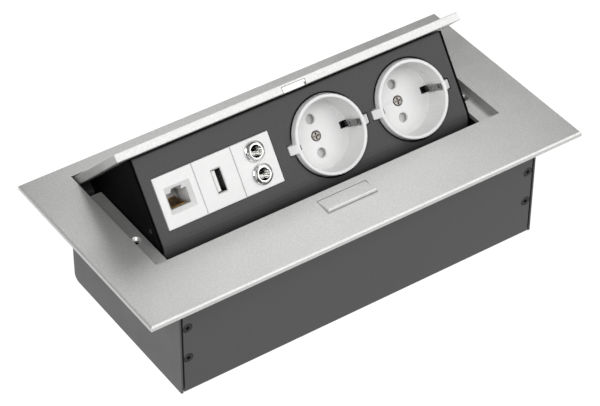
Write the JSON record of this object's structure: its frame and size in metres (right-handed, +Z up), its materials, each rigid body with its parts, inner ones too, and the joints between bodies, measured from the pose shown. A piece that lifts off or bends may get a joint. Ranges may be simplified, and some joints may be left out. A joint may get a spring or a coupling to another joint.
{
  "type": "pop-up desk power module",
  "caption": "In-desk power module with a tilting lid, earthed mains sockets, network, USB and audio jacks, a release button and a folded housing.",
  "frame": {"origin": "centre of the bounding box at the underside of the housing", "axes": "+X along the bezel to the right of the panel as it is seen, +Y from the panel to the back, +Z up"},
  "size_m": [0.27, 0.1306, 0.11],
  "materials": {
    "silver_paint": "fine sparkle satin",
    "black_paint": "satin",
    "dark_grey_paint": "satin",
    "black_steel": "blackened",
    "black_plastic": "fine grain",
    "black_rubber": "matte",
    "grey_nylon": "satin",
    "white_plastic": "gloss",
    "gold_plate": "gold plated",
    "brass": "satin",
    "chrome": "polished",
    "bright_steel": "satin"
  },
  "bodies": {
    "housing": {"bezel_frame": "silver_paint", "button_pin": "bright_steel", "data_grommet": "black_rubber", "end_plate_left": "black_paint", "end_plate_right": "black_paint", "gland_locknut": "black_plastic", "housing_screw_1": "black_steel", "housing_screw_2": "black_steel", "housing_screw_3": "black_steel", "housing_screw_4": "black_steel", "housing_screw_5": "black_steel", "housing_screw_6": "black_steel", "housing_screw_7": "black_steel", "housing_screw_8": "black_steel", "housing_shell": "black_paint", "mains_gland_body": "black_plastic", "pivot_pin_left": "bright_steel", "pivot_pin_right": "bright_steel"},
    "carrier": {"audio_jack_lower": "chrome", "audio_jack_upper": "chrome", "audio_plate": "white_plastic", "carrier_rear_cover": "black_paint", "centre_screw_left": "bright_steel", "centre_screw_right": "bright_steel", "contact_line_left": "brass", "contact_line_right": "brass", "contact_neutral_left": "brass", "contact_neutral_right": "brass", "earth_strap_left": "bright_steel", "earth_strap_right": "bright_steel", "jack_spring_lower": "brass", "jack_spring_upper": "brass", "latch_keeper": "grey_nylon", "lid_plate": "silver_paint", "module_frame": "white_plastic", "pivot_bush_left": "grey_nylon", "pivot_bush_right": "grey_nylon", "rj45_contacts": "gold_plate", "rj45_jack": "white_plastic", "rj45_plate": "white_plastic", "side_plate_left": "black_paint", "side_plate_right": "black_paint", "side_screw_left": "bright_steel", "side_screw_right": "bright_steel", "socket_insert_left": "white_plastic", "socket_insert_right": "white_plastic", "socket_panel": "dark_grey_paint", "socket_rear_body_left": "black_plastic", "socket_rear_body_right": "black_plastic", "torsion_spring_left": "bright_steel", "torsion_spring_right": "bright_steel", "usb_plate": "white_plastic", "usb_shell": "bright_steel", "usb_tongue": "white_plastic"},
    "button": {"release_button": "silver_paint"},
    "latch": {"latch_bolt": "bright_steel"},
    "shutter_l": {"shutter_left": "black_plastic"},
    "shutter_r": {"shutter_right": "black_plastic"}
  },
  "joints": [
    {"name": "carrier_tilt", "type": "hinge", "parent": "housing", "child": "carrier", "pos_m": [0, 0.0449, 0.0426], "axis": [1, 0, 0], "range_deg": [0, 45.6], "stiffness_Nm_per_rad": 1.6, "springref_deg": -20.05},
    {"name": "button_press", "type": "hinge", "parent": "housing", "child": "button", "pos_m": [0.00077, -0.0339, 0.0645], "axis": [1, 0, 0], "range_deg": [0, 9], "stiffness_Nm_per_rad": 0.1, "springref_deg": -17.19},
    {"name": "latch_slide", "type": "slide", "parent": "housing", "child": "latch", "axis": [0, -1, 0], "range_m": [0, 0.0015]},
    {"name": "shutter_left_slide", "type": "slide", "parent": "carrier", "child": "shutter_l", "axis": [-1, 0, 0], "range_m": [0, 0.0065], "stiffness_N_per_m": 40, "springref_m": -0.003},
    {"name": "shutter_right_slide", "type": "slide", "parent": "carrier", "child": "shutter_r", "axis": [-1, 0, 0], "range_m": [0, 0.0065], "stiffness_N_per_m": 40, "springref_m": -0.003}
  ],
  "couplings": [
    {"joint": "latch_slide", "follows": "button_press", "m_per_rad": 0.0095}
  ]
}
